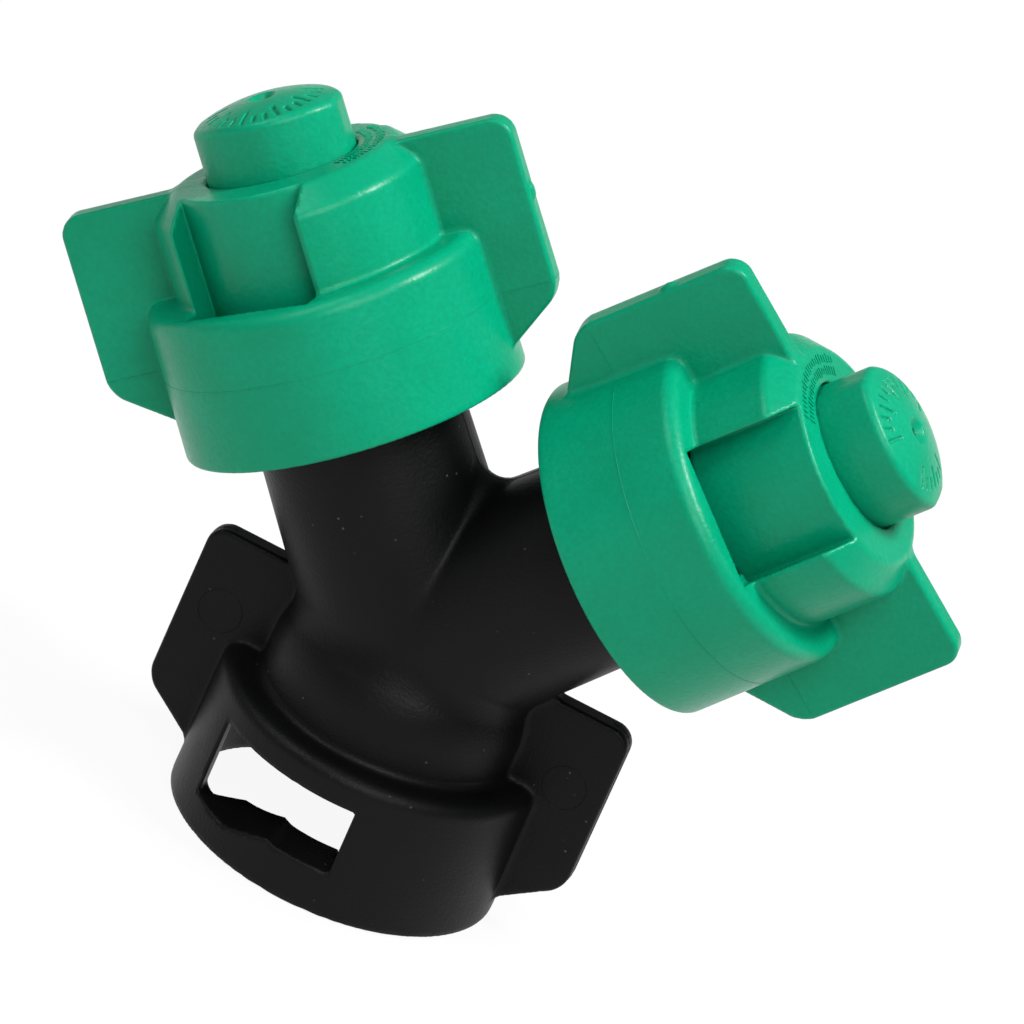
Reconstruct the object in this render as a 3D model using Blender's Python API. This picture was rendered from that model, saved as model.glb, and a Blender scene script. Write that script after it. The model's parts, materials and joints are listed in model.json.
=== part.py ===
"""Twin-outlet nozzle adapter: a black Y body with a bayonet socket below and two capped spray outlets above.

Frame: metres, +Z up. The origin is the centre of the socket's open rim, the two arms lie in the XZ plane,
and the socket's windows face -Y and +Y. Every length below is in millimetres.
"""
import math

import bmesh
import bpy
from mathutils import Matrix, Vector

MM = 0.001
SEGMENTS = 40          # flats round a full turn

# Clearances
FIT_GAP = 0.3          # between pieces that sit against each other
RUN_GAP = 0.5          # radial play round a turning or sliding piece
LUG_GAP = 0.6          # between a lug's tip and the socket wall
LEDGE_GAP = 0.7        # between an arm and the ledges round it
CAP_CLEARANCE = 1.655  # from a cap's rim to the middle plane between the two caps

# Strainer
STRAINER_R = 6.0
STRAINER_L = 21.0
COLLAR_STEP = 1.1
COLLAR_R = STRAINER_R + COLLAR_STEP
COLLAR_T = 1.1

# Male outlet
SPIGOT_WALL = 1.1
SPIGOT_R = COLLAR_R + FIT_GAP + SPIGOT_WALL
SPIGOT_H = 13.2
STRAINER_TOP = SPIGOT_H - FIT_GAP / 3
STRAINER_FOOT = STRAINER_TOP - STRAINER_L
OUTLET_BORE_R = STRAINER_R + RUN_GAP
CORE_BORE_R = 5.0
ARM_ROOT_R = 10.4
ARM_END_R = 9.9

# Bayonet socket, the same in the body and in both caps
SKIRT_R = 16.3
SKIRT_DRAFT = 0.2
SKIRT_TOP_R = SKIRT_R - SKIRT_DRAFT
SKIRT_H = 14.4
SKIRT_EDGE = 1.4       # rounding of the upper edge
SKIRT_WALL = 2.0
SOCKET_R = SKIRT_R - SKIRT_WALL
FLANGE_T = 2.0
DRUM_R = 12.9
SEAT_R = SPIGOT_R + RUN_GAP
LEDGE_R = ARM_END_R + LEDGE_GAP
LEDGE_FOOT = 0.8
LEDGE_TOP = 4.75       # crest the lug snaps over
LEDGE_DIP = 0.25
LEDGE_LOCK = LEDGE_TOP - LEDGE_DIP
LEDGE_LEAD = 3.0       # low lead-in
LEDGE_START = -48.0    # degrees from the front of the socket
LEDGE_END = 13.0
STOP_ARC = 5.0

# Lugs
LUG_R = SOCKET_R - LUG_GAP
LUG_FOOT = LEDGE_TOP + FIT_GAP
LUG_H = 2.9
LUG_HALF_ARC = 24.0
LUG_TURN = -12.4

# Seals
SEAL_R = SPIGOT_R
SEAL_HOLE_R = 5.5
SEAL_T = 2.1
INLET_SEAT_H = 15.9

# Cap
TIP_FOOT = SPIGOT_H + SEAL_T + 3 * FIT_GAP
TIP_FOOT_H = 5.1       # the part of a tip that the cap holds down
CAP_WALL_TOP = 2.7
CAP_TOP_H = TIP_FOOT + TIP_FOOT_H + FIT_GAP + CAP_WALL_TOP
CAP_TOP_R = 10.5
CHAMFER_H = 2.3
CAP_DRUM_H = CAP_TOP_H - CHAMFER_H
POCKET_TURN = -17.5
POCKET_W = 13.2
POCKET_WALL = 1.3
POCKET_BACK_R = SEAT_R + POCKET_WALL

# Wings
WING_SPAN = 22.0       # axis to wing edge
WING_FOOT = 2.4        # where the lower slope leaves the skirt
WING_KNEE = 7.2
WING_DROP = 0.25       # a cap's wings end this far below its top
WING_TOP = CAP_TOP_H - WING_DROP
WING_CORNER = 2.0
WING_T = 2.7
BODY_WING_TOP = 23.9

# Spray tip
TIP_NOSE_W = 14.0      # long way, towards the wings
TIP_NOSE_D = 12.0      # short way
TIP_SHOULDER = 0.2
TIP_BODY_R = TIP_NOSE_W / 2 + TIP_SHOULDER
TIP_FLANGE_R = TIP_BODY_R + FIT_GAP
TIP_FLANGE_T = 2.3
TIP_STANDOUT = 5.0     # nose above the cap
TIP_FACE_H = CAP_TOP_H + TIP_STANDOUT
TIP_DOME = 1.5
ORIFICE_R = 0.9
TIP_BORE_R = 4.2

# Y layout
ARM_ANGLE = 39.6       # each arm leans this far from the socket axis
JUNCTION_H = 23.4      # socket rim to the point where the three axes meet
ARM_LENGTH = (SKIRT_R * math.cos(math.radians(ARM_ANGLE)) + CAP_CLEARANCE) / math.sin(math.radians(ARM_ANGLE))
LEFT_TURN = 6.0        # how far each cap stands short of fully home, degrees
RIGHT_TURN = 8.0

# Window through the body's skirt
WINDOW_LEFT = -11.8
WINDOW_RIGHT = 3.0
WINDOW_TOP = 11.2

# Body drum and shoulder
BODY_DRUM_R = 12.7
SHOULDER_H = 17.6
SHOULDER_TOP = 28.0


def clear_scene():
    for thing in list(bpy.data.objects):
        bpy.data.objects.remove(thing, do_unlink=True)


def new_collection(name):
    collection = bpy.data.collections.new(name)
    bpy.context.scene.collection.children.link(collection)
    return collection


def linear(hex_colour):
    channels = [int(hex_colour[i:i + 2], 16) / 255 for i in (0, 2, 4)]
    return [c / 12.92 if c <= 0.04045 else ((c + 0.055) / 1.055) ** 2.4 for c in channels] + [1.0]


def material(name, hex_colour, roughness, metallic=0.0):
    made = bpy.data.materials.new(name)
    made.use_nodes = True
    shader = made.node_tree.nodes["Principled BSDF"]
    shader.inputs["Base Color"].default_value = linear(hex_colour)
    shader.inputs["Roughness"].default_value = roughness
    shader.inputs["Metallic"].default_value = metallic
    made.diffuse_color = linear(hex_colour)
    return made


def finish(name, bm, matrix=None):
    """Close a mesh off: scale to metres, place, point its faces outwards and link it as a helper."""
    bmesh.ops.remove_doubles(bm, verts=bm.verts, dist=0.0005)
    bmesh.ops.recalc_face_normals(bm, faces=bm.faces)
    if matrix is not None:
        bm.transform(matrix)
    bm.transform(Matrix.Scale(MM, 4))
    mesh = bpy.data.meshes.new(name)
    bm.to_mesh(mesh)
    bm.free()
    made = bpy.data.objects.new(name, mesh)
    helpers.objects.link(made)
    made.hide_render = True
    made.display_type = "WIRE"
    return made


def turned(name, outline, matrix=None, segments=SEGMENTS):
    """A closed outline of (radius, height) points turned round the local Z axis."""
    bm = bmesh.new()
    ring = [bm.verts.new((r, 0.0, h)) for r, h in outline]
    edges = [bm.edges.new((a, b)) for a, b in zip(ring, ring[1:] + ring[:1])
             if a.co.x > 0.0001 or b.co.x > 0.0001]
    bmesh.ops.spin(bm, geom=ring + edges, cent=(0, 0, 0), axis=(0, 0, 1), angle=math.tau,
                   steps=segments, use_merge=True)
    return finish(name, bm, matrix)


def prism(name, outline, low, high, matrix=None):
    """A closed outline of (x, y) points drawn up from one height to another."""
    bm = bmesh.new()
    foot = [bm.verts.new((x, y, low)) for x, y in outline]
    face = bm.faces.new(foot)
    grown = bmesh.ops.extrude_face_region(bm, geom=[face])
    bmesh.ops.translate(bm, vec=(0, 0, high - low),
                        verts=[v for v in grown["geom"] if isinstance(v, bmesh.types.BMVert)])
    return finish(name, bm, matrix)


def lofted(name, sections, matrix=None):
    """A bar skinned over four-cornered sections."""
    bm = bmesh.new()
    rings = [[bm.verts.new(corner) for corner in section] for section in sections]
    bm.faces.new(rings[0])
    bm.faces.new(rings[-1])
    for here, there in zip(rings, rings[1:]):
        for k in range(4):
            n = (k + 1) % 4
            bm.faces.new((here[k], here[n], there[n], there[k]))
    return finish(name, bm, matrix)


def sector(name, inner, outer, steps, matrix=None):
    """A curved block: each step is (degrees from the front, foot height, top height)."""
    sections = []
    for angle, low, high in steps:
        x, y = math.sin(math.radians(angle)), -math.cos(math.radians(angle))
        sections.append([(x * r, y * r, h)
                         for r, h in ((inner, low), (outer, low), (outer, high), (inner, high))])
    return lofted(name, sections, matrix)


def arc(cx, cy, radius, start, end, count):
    steps = [math.radians(start + (end - start) * k / count) for k in range(count + 1)]
    return [(cx + radius * math.cos(a), cy + radius * math.sin(a)) for a in steps]


def stations(start, end, step, heights):
    count = max(2, round((end - start) / step))
    angles = [start + (end - start) * k / count for k in range(count + 1)]
    return [(a, *heights(a)) for a in angles]


def boolean(target, tool, operation):
    step = target.modifiers.new(tool.name, "BOOLEAN")
    step.operation = operation
    step.solver = "EXACT"
    step.object = tool


def add(target, *tools):
    for tool in tools:
        boolean(target, tool, "UNION")


def cut(target, *tools):
    for tool in tools:
        boolean(target, tool, "DIFFERENCE")


def ride(piece, parent):
    """Hang a piece and every helper that shapes it on the same axis."""
    piece.parent = parent
    for step in piece.modifiers:
        ride(step.object, parent)


def deliver(piece, name, finish_material, parent=None, sharp=32):
    """Turn a helper into a delivered piece with its own name and material."""
    helpers.objects.unlink(piece)
    parts.objects.link(piece)
    piece.hide_render = False
    piece.display_type = "TEXTURED"
    piece.name = name
    piece.data.name = name
    piece.data.materials.append(finish_material)
    piece.data.shade_smooth()
    piece.data.set_sharp_from_angle(angle=math.radians(sharp))
    if parent is not None:
        ride(piece, parent)
    return piece


def half_turns(matrix=None):
    base = Matrix() if matrix is None else matrix
    return (base, base @ Matrix.Rotation(math.pi, 4, "Z"))


def socket_outline(drum_r, inner):
    """Skirt, flange and foot of the drum as one turned wall; inner is the rest, from the drum to the seat."""
    edge = arc(SKIRT_TOP_R - SKIRT_EDGE, SKIRT_H - SKIRT_EDGE, SKIRT_EDGE, 0, 90, 3)
    lip = 0.35
    return ([(SOCKET_R, lip), (SOCKET_R + lip, 0.0), (SKIRT_R - lip, 0.0), (SKIRT_R, lip)] + edge
            + [(drum_r, SKIRT_H)] + inner + [(SEAT_R, SKIRT_H - FLANGE_T), (SOCKET_R, SKIRT_H - FLANGE_T)])


def wing_outline(top):
    """One wing's outline in the plane of the arms: x outwards, y up the socket axis."""
    root, skirt_root = DRUM_R - 2.0, SOCKET_R + 0.8
    floor = SKIRT_H - FLANGE_T + 0.7
    c = WING_CORNER
    return ([(root, floor), (skirt_root, floor), (skirt_root, WING_FOOT), (SKIRT_R - 0.2, WING_FOOT)]
            + arc(WING_SPAN - 1.2, WING_KNEE, 1.2, -40, 0, 3)
            + arc(WING_SPAN - c, top - c, c, 0, 90, 5)
            + [(root, top)])


def wing(name, top, side):
    """A flat wing standing out from the skirt and drum."""
    upright = Matrix.Rotation(math.radians(90), 4, "X")
    mirror = Matrix.Scale(side, 4, Vector((1, 0, 0)))
    made = prism(name, wing_outline(top), -WING_T / 2, WING_T / 2, upright)
    made.data.transform(mirror)
    if side < 0:
        made.data.flip_normals()
    return made


def matrix_mm(matrix):
    """The same placing with its shift given in metres."""
    placed = matrix.copy()
    placed.translation = placed.translation * MM
    return placed


def cam_height(angle):
    """Top of a bayonet ledge at an angle from the front of the socket."""
    crest_start, crest, rest = -30.0, -12.6, -9.0
    if angle <= crest_start:
        return LEDGE_LEAD
    if angle <= crest:
        return LEDGE_LEAD + (LEDGE_TOP - LEDGE_LEAD) * (angle - crest_start) / (crest - crest_start)
    if angle <= rest:
        return LEDGE_TOP + (LEDGE_LOCK - LEDGE_TOP) * (angle - crest) / (rest - crest)
    return LEDGE_LOCK


def ledge(name, heights, matrix):
    return sector(name, LEDGE_R, SOCKET_R + 0.9, stations(LEDGE_START, LEDGE_END, 5.1, heights), matrix)


def stop(name, matrix):
    block = stations(LEDGE_END - 0.5, LEDGE_END + STOP_ARC, 3.0,
                     lambda a: (LEDGE_FOOT + 0.4, SKIRT_H - FLANGE_T + 0.8))
    return sector(name, LEDGE_R + 0.4, SOCKET_R + 0.8, block, matrix)


def facet_offset(side):
    """Turns one side's facets a little, so that mirrored facets never meet edge on edge."""
    return Matrix.Rotation(math.radians(1.3 + 0.9 * side), 4, "Z")


def arm_frame(side):
    lean = Matrix.Rotation(math.radians(side * ARM_ANGLE), 4, "Y")
    return Matrix.Translation((0, 0, JUNCTION_H)) @ lean @ Matrix.Translation((0, 0, ARM_LENGTH))


def crotch_web():
    """A strip that rounds off the valley where the two arms meet."""
    lean = math.radians(ARM_ANGLE)
    radius = ARM_ROOT_R - (ARM_ROOT_R - ARM_END_R) * 0.6
    reach = radius * 0.72
    sections = []
    for k in range(9):
        y = reach * (k - 4) / 4
        fill = 1.7 - 1.5 * (y / reach) ** 2
        valley = JUNCTION_H + math.sqrt(radius * radius - y * y) / math.sin(lean)
        half = fill * math.tan(lean) + 0.15
        sections.append([(-0.4, y, valley - 2.2), (0.4, y, valley - 2.2),
                         (half, y, valley + fill), (-half, y, valley + fill)])
    return lofted("crotch_web", sections)


def build_body():
    rise = SHOULDER_TOP - SHOULDER_H
    shoulder = [(BODY_DRUM_R * x, SHOULDER_H + rise * y) for x, y in arc(0, 0, 1, 0, 90, 7)[:-1]]
    body = turned("y_body", socket_outline(BODY_DRUM_R, shoulder + [
        (0.0, SHOULDER_TOP), (0.0, INLET_SEAT_H), (SEAT_R, INLET_SEAT_H)]))
    lug_top, bore_foot = LUG_FOOT + LUG_H, STRAINER_FOOT - 2.6
    for side, tag in ((-1, "left"), (1, "right")):
        frame = arm_frame(side)
        add(body, turned(tag + "_arm", [
            (0.0, -ARM_LENGTH - 1.0), (ARM_ROOT_R - 3.0, -ARM_LENGTH - 1.0), (ARM_ROOT_R, -ARM_LENGTH),
            (ARM_END_R, -1.0), (ARM_END_R, lug_top - 0.7), (SPIGOT_R, lug_top - 0.7),
            (SPIGOT_R, SPIGOT_H - 0.3), (SPIGOT_R - 0.3, SPIGOT_H), (0.0, SPIGOT_H)],
            frame @ facet_offset(side)))
        for k, placed in enumerate(half_turns(frame)):
            heights = stations(LUG_TURN - LUG_HALF_ARC, LUG_TURN + LUG_HALF_ARC, 6.0,
                               lambda a: (LUG_FOOT, lug_top))
            add(body, sector("%s_lug_%d" % (tag, k), ARM_END_R - 0.8, LUG_R, heights, placed))
        add(body, wing(tag + "_body_wing", BODY_WING_TOP, side))
    for k, placed in enumerate(half_turns()):
        add(body, ledge("body_ledge_%d" % k, lambda a: (LEDGE_FOOT, LEDGE_TOP + 0.4), placed))
        add(body, stop("body_stop_%d" % k, placed))
    add(body, crotch_web())
    for side, tag in ((-1, "left"), (1, "right")):
        frame = arm_frame(side)
        cut(body, turned(tag + "_bore", [
            (0.0, -ARM_LENGTH - 1.5), (CORE_BORE_R, -ARM_LENGTH - 1.5), (CORE_BORE_R, bore_foot - 1.5),
            (OUTLET_BORE_R, bore_foot), (OUTLET_BORE_R, SPIGOT_H - COLLAR_T - FIT_GAP),
            (COLLAR_R + FIT_GAP, SPIGOT_H - COLLAR_T - FIT_GAP), (COLLAR_R + FIT_GAP, SPIGOT_H + 1.0),
            (0.0, SPIGOT_H + 1.0)], frame @ facet_offset(-side)))
    cut(body, turned("inlet_bore", [(0.0, INLET_SEAT_H - 2.0), (CORE_BORE_R, INLET_SEAT_H - 2.0),
                                    (CORE_BORE_R, JUNCTION_H + 1.0), (0.0, JUNCTION_H + 3.0)]))
    for k, placed in enumerate(half_turns()):
        face = Matrix.Rotation(math.radians(90), 4, "X")
        opening = [(WINDOW_LEFT, LEDGE_LEAD + 0.4), (-8.0, LEDGE_LEAD), (-3.5, LEDGE_TOP + 0.05),
                   (-2.6, LEDGE_LOCK), (WINDOW_RIGHT, LEDGE_LOCK), (WINDOW_RIGHT, WINDOW_TOP),
                   (WINDOW_LEFT, WINDOW_TOP)]
        cut(body, prism("body_window_%d" % k, opening, LEDGE_R * 0.55, SKIRT_R + 3.0, placed @ face))
    return deliver(body, "y_body", black)


def build_cap(tag, holder):
    top_in = CAP_TOP_H - CAP_WALL_TOP
    edge = 0.35
    cap = turned(tag + "_cap", socket_outline(DRUM_R, [
        (DRUM_R, CAP_DRUM_H), (CAP_TOP_R, CAP_TOP_H - edge), (CAP_TOP_R - edge, CAP_TOP_H), (1.0, CAP_TOP_H),
        (1.0, top_in), (TIP_FLANGE_R + FIT_GAP, top_in), (TIP_FLANGE_R + FIT_GAP, TIP_FOOT),
        (SEAT_R, TIP_FOOT)]))
    for side, name in ((-1, "low"), (1, "high")):
        add(cap, wing("%s_cap_wing_%s" % (tag, name), WING_TOP, side))
    for k, placed in enumerate(half_turns()):
        add(cap, ledge("%s_ledge_%d" % (tag, k), lambda a: (LEDGE_FOOT, cam_height(a)), placed))
        add(cap, stop("%s_stop_%d" % (tag, k), placed))
    cut(cap, nose_prism(tag + "_tip_hole", top_in - 1.0, CAP_TOP_H + 1.0, FIT_GAP))
    for k, placed in enumerate(half_turns(Matrix.Rotation(math.radians(POCKET_TURN), 4, "Z"))):
        half = POCKET_W / 2
        spread = math.degrees(math.asin(half / POCKET_BACK_R))
        back = arc(0, 0, POCKET_BACK_R, -90 + spread, -90 - spread, 8)
        cut(cap, prism("%s_pocket_%d" % (tag, k), [(-half, -DRUM_R - 0.15), (half, -DRUM_R - 0.15)] + back,
                       SKIRT_H - FLANGE_T - 1.0, CAP_TOP_H + 1.0, placed))
    return deliver(cap, tag + "_cap", green, holder)


def nose_outline(grow):
    """The tip nose: two shallow arcs front and back, cut off flat at both ends."""
    half_w, half_d = TIP_NOSE_W / 2 + grow, TIP_NOSE_D / 2 + grow
    end = 1.6
    sag = half_d - end
    bow = (half_w * half_w + sag * sag) / (2 * sag)
    spread = math.degrees(math.asin(half_w / bow))
    front = arc(0, bow - half_d, bow, -90 - spread, -90 + spread, 10)
    return front + [(-x, -y) for x, y in front]


def nose_prism(name, low, high, grow):
    return prism(name, nose_outline(grow), low, high)


def build_tip(tag, holder):
    foot, shoulder = TIP_FOOT, TIP_FOOT + TIP_FOOT_H
    nose = nose_prism(tag + "_nose", shoulder - 1.2, TIP_FACE_H + TIP_DOME + 1.0, 0.0)
    cut(nose, turned(tag + "_dome", dome_outline(), segments=28))
    cut(nose, turned(tag + "_swirl_chamber", [(0.0, foot - 1.0), (TIP_BORE_R, foot - 1.0),
                                              (TIP_BORE_R, TIP_FACE_H - 4.6), (1.4, TIP_FACE_H - 3.4),
                                              (0.0, TIP_FACE_H - 3.4)], segments=28))
    countersink = 1.7
    apex = TIP_FACE_H + TIP_DOME
    cut(nose, turned(tag + "_orifice", [
        (0.0, TIP_FACE_H - 4.0), (ORIFICE_R, TIP_FACE_H - 4.0), (ORIFICE_R, apex - 0.5),
        (countersink, apex + 0.3), (0.0, apex + 0.3)], segments=16))
    tip = turned(tag + "_tip_foot", [
        (TIP_BORE_R, foot), (TIP_FLANGE_R - 0.25, foot), (TIP_FLANGE_R, foot + 0.25),
        (TIP_FLANGE_R, foot + TIP_FLANGE_T - 0.25), (TIP_FLANGE_R - 0.25, foot + TIP_FLANGE_T),
        (TIP_BODY_R, foot + TIP_FLANGE_T), (TIP_BODY_R, shoulder), (TIP_BORE_R, shoulder)])
    add(tip, nose)
    return deliver(tip, tag + "_spray_tip", green, holder)


def dome_outline():
    """Everything above the domed face, as a turned block to take away."""
    reach = TIP_NOSE_W / 2
    bow = (reach * reach + TIP_DOME * TIP_DOME) / (2 * TIP_DOME)
    centre = TIP_FACE_H + TIP_DOME - bow
    far = reach + 2.0
    heights = [(far * k / 5, centre + math.sqrt(bow * bow - (far * k / 5) ** 2)) for k in range(5, -1, -1)]
    return [(0.0, TIP_FACE_H + TIP_DOME + 4.0), (far, TIP_FACE_H + TIP_DOME + 4.0)] + heights


def build_core(tag, holder):
    """Swirl core: a plug with slanted grooves in its upper edge."""
    foot = TIP_FOOT + FIT_GAP
    top = TIP_FACE_H - 5.4
    reach = TIP_BORE_R - FIT_GAP
    core = turned(tag + "_swirl_core", [
        (1.5, foot), (reach, foot), (reach, foot + 1.4), (2.6, foot + 2.0),
        (2.6, top - 3.0), (reach, top - 2.4), (reach, top), (1.5, top)], segments=24)
    for k in range(3):
        lean = (Matrix.Rotation(math.tau * k / 3, 4, "Z") @ Matrix.Translation((reach, 0, top - 1.2))
                @ Matrix.Rotation(math.radians(35), 4, "X"))
        cut(core, prism("%s_groove_%d" % (tag, k), [(-1.3, -0.6), (1.0, -0.6), (1.0, 0.6), (-1.3, 0.6)],
                        -4.0, 4.0, lean))
    return deliver(core, tag + "_swirl_core", ivory, holder)


def seal_ring(name, foot, holder=None):
    edge = 0.3
    ring = turned(name, [(SEAL_HOLE_R, foot), (SEAL_R - edge, foot), (SEAL_R, foot + edge),
                         (SEAL_R, foot + SEAL_T - edge), (SEAL_R - edge, foot + SEAL_T),
                         (SEAL_HOLE_R, foot + SEAL_T)])
    return deliver(ring, name, rubber, holder)


def build_strainer(tag, holder):
    """Strainer: a collar under the seal, a ribbed cage and a fine sleeve round it."""
    top, low = STRAINER_TOP, STRAINER_FOOT
    cage_r = STRAINER_R - 0.85
    frame = turned(tag + "_strainer_frame", [
        (3.9, top - COLLAR_T - 1.2), (STRAINER_R, top - COLLAR_T - 1.2), (STRAINER_R, top - COLLAR_T),
        (COLLAR_R, top - COLLAR_T), (COLLAR_R, top), (3.9, top)], segments=28)
    foot = turned(tag + "_cage_foot", [(0.0, low), (STRAINER_R, low), (STRAINER_R, low + 1.6),
                                       (0.0, low + 1.6)], segments=28)
    rib = 0.75
    cross = []
    for x, y in ((1, 0), (0, 1), (-1, 0), (0, -1)):
        cross += [(x * cage_r + y * rib, y * cage_r - x * rib), (x * cage_r - y * rib, y * cage_r + x * rib),
                  ((x - y) * rib, (x + y) * rib)]
    add(frame, foot, prism(tag + "_ribs", cross, low + 1.0, top - COLLAR_T - 0.6))
    cut(frame, turned(tag + "_cage_hollow", [(0.0, low + 3.0), (3.4, low + 3.0), (3.4, top + 1.0),
                                             (0.0, top + 1.0)], segments=24))
    deliver(frame, tag + "_strainer_frame", ivory, holder)
    sleeve_in, sleeve_out = cage_r + FIT_GAP, STRAINER_R - 0.25
    sleeve_low, sleeve_top = low + 1.6 + FIT_GAP, top - COLLAR_T - 1.2 - FIT_GAP
    sleeve = turned(tag + "_strainer_mesh", [(sleeve_in, sleeve_low), (sleeve_out, sleeve_low),
                                             (sleeve_out, sleeve_top), (sleeve_in, sleeve_top)], segments=28)
    return deliver(sleeve, tag + "_strainer_mesh", steel, holder)


def build_side(tag, side, turn):
    """One outlet: its fixed pieces stand on the arm, and the cap with its tip and core on a turning axis."""
    axis = bpy.data.objects.new(tag + "_outlet_axis", None)
    axis.matrix_world = matrix_mm(arm_frame(side))
    parts.objects.link(axis)
    spin = bpy.data.objects.new(tag + "_cap_axis", None)
    spin.parent = axis
    spin.rotation_euler = (0, 0, math.radians(turn))
    parts.objects.link(spin)
    build_cap(tag, spin)
    build_tip(tag, spin)
    build_core(tag, spin)
    seal_ring(tag + "_seal", SPIGOT_H + FIT_GAP, axis)
    build_strainer(tag, axis)


clear_scene()
parts = new_collection("twin_outlet_nozzle_adapter")
helpers = new_collection("cutters")
black = material("black_glass_filled_nylon", "17181a", 0.5)
green = material("green_acetal", "0f9e70", 0.42)
ivory = material("ivory_acetal", "e6e0cf", 0.45)
rubber = material("black_epdm", "1d1d1e", 0.8)
steel = material("stainless_mesh", "b9bcbe", 0.35, 1.0)

build_body()
seal_ring("inlet_seal", INLET_SEAT_H - FIT_GAP - SEAL_T)
for tag, side, turn in (("left", -1, LEFT_TURN), ("right", 1, RIGHT_TURN)):
    build_side(tag, side, turn)
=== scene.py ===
# %% [markdown]
# # A twin-outlet nozzle adapter for a crop sprayer
#
# The real object is a black Y-shaped moulding with a bayonet socket at its foot and a green bayonet cap on
# each of its two arms. A green spray tip looks out of the top of each cap. Everything is injection moulded,
# so the look rests on three things: soft even fillets, crisp small edge roundings, and the fine grain that
# the spark-eroded mould leaves in the plastic.
#
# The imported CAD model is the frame. It fixes every size and every place, and the pieces made below are laid
# over it.

# %% Load the frame
import json
import math

import bpy
import numpy as np
from mathutils import Matrix, Vector


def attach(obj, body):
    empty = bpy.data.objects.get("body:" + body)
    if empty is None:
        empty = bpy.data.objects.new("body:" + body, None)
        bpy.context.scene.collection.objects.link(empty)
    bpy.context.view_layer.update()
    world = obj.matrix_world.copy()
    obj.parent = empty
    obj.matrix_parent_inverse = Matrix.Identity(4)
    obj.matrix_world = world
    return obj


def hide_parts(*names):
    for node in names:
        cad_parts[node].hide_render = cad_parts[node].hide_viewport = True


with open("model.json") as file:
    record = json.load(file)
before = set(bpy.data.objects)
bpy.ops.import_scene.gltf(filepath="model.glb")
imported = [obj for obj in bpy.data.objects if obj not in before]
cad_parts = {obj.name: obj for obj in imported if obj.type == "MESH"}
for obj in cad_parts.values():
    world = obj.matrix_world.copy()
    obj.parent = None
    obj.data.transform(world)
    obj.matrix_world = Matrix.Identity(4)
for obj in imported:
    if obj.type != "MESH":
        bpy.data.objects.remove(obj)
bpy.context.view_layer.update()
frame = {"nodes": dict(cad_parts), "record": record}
bodies = frame["record"]["behaviour"]["bodies"]
body_of_node = {node: body for body, nodes in bodies.items() for node in nodes}

# %% [markdown]
# ## Sizes
#
# All lengths in this script are millimetres until a mesh is finished. The socket of the body and the sockets
# of the two caps are the same standard bayonet, so they share one set of values.

# %% Sizes of the shared bayonet socket and its wings
SKIRT_R, SKIRT_TOP_R, SKIRT_H, SKIRT_EDGE = 16.3, 16.1, 14.4, 1.4
SOCKET_R, SOCKET_DEPTH, SEAT_R = 14.3, 12.4, 9.0
LIP = 0.35                                   # rounding of the rim
LEDGE_R, LEDGE_FOOT, LEDGE_TOP, LEDGE_LOCK, LEDGE_LEAD = 10.6, 0.8, 4.75, 4.5, 3.0
LEDGE_START, LEDGE_END, STOP_ARC = math.radians(-48), math.radians(13), math.radians(5)
WING_SPAN, WING_FOOT, WING_KNEE, WING_T = 22.0, 2.4, 6.5, 2.7
WING_CORNER, WING_KNEE_ROUND, WING_EDGE = 2.0, 1.2, 0.38
PARTING_H = 8.0                              # where the two halves of the cap's mould meet
GATE_H = 16.4                                # the scar where the cap was broken off its runner

# %% Sizes of the caps, the tips and the body
DRUM_R, CAP_DRUM_H, CAP_TOP_H, CAP_TOP_R, CAP_WALL_TOP = 12.9, 22.0, 24.3, 10.5, 2.7
POCKET_TURN, POCKET_HALF, POCKET_BACK_R = math.radians(-17.5), 6.6, 10.3
TIP_FLANGE_R, TIP_FLANGE_T, TIP_BODY_R = 7.5, 2.3, 7.2
NOSE_HALF_W, NOSE_HALF_D, NOSE_END = 7.0, 6.0, 1.6
FACE_H, DOME, ORIFICE_R, TIP_BORE_R = 29.3, 1.5, 0.9, 4.2
SPIGOT_R, SPIGOT_H, LUG_R, LUG_FOOT, LUG_H = 8.5, 13.2, 13.7, 5.05, 2.9
SEAL_T, COLLAR_R, COLLAR_T, GAP = 2.1, 7.1, 1.1, 0.3
ARM_LEAN, JUNCTION_H, ARM_LENGTH, ARM_ROOT_R, ARM_END_R = math.radians(39.6), 23.4, 22.3, 10.4, 9.9
BODY_DRUM_R, SHOULDER_H, SHOULDER_TOP = 12.7, 17.6, 28.0
CAP_WING_TOP, BODY_WING_TOP = 24.05, 23.9
INLET_SEAT_H, BORE_R = 15.9, 5.0
WINDOW_LEFT, WINDOW_RIGHT, WINDOW_TOP = -11.8, 3.0, 11.2
STRAINER_R, STRAINER_L = 6.0, 21.0
CAP_NET, TIP_NET, BODY_NET = 0.34, 0.16, 0.44   # width of one face of each net
# Each cap stands a few degrees short of home. The right one was put on half a turn round from the left one.
CAP_TURN = {"left": math.radians(6), "right": math.radians(8 + 180)}
SIDE = {"left": -1, "right": 1}

# %% [markdown]
# ## How the mouldings are shaped
#
# A moulding is full of small fillets: where a wing meets a skirt, where two arms meet, along every edge.
# Bevel modifiers on a mesh of many cut parts give up at such places. Here each moulding is written down as
# a *distance field* instead: a function that says how far any point is from the plastic, negative inside.
# Two fields are joined, cut or intersected with a true rounding of a given radius, as a mould maker would
# ask for it. A net of small faces is then drawn over the place where the field is zero.

# %% Joining and cutting fields with a rounding
def join(a, b, radius=0.0):
    """Both solids together, with a fillet in the corner between them."""
    if np.ndim(radius) == 0 and radius == 0:
        return np.minimum(a, b)
    corner = np.hypot(np.maximum(radius - a, 0), np.maximum(radius - b, 0))
    return np.maximum(radius, np.minimum(a, b)) - corner


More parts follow.
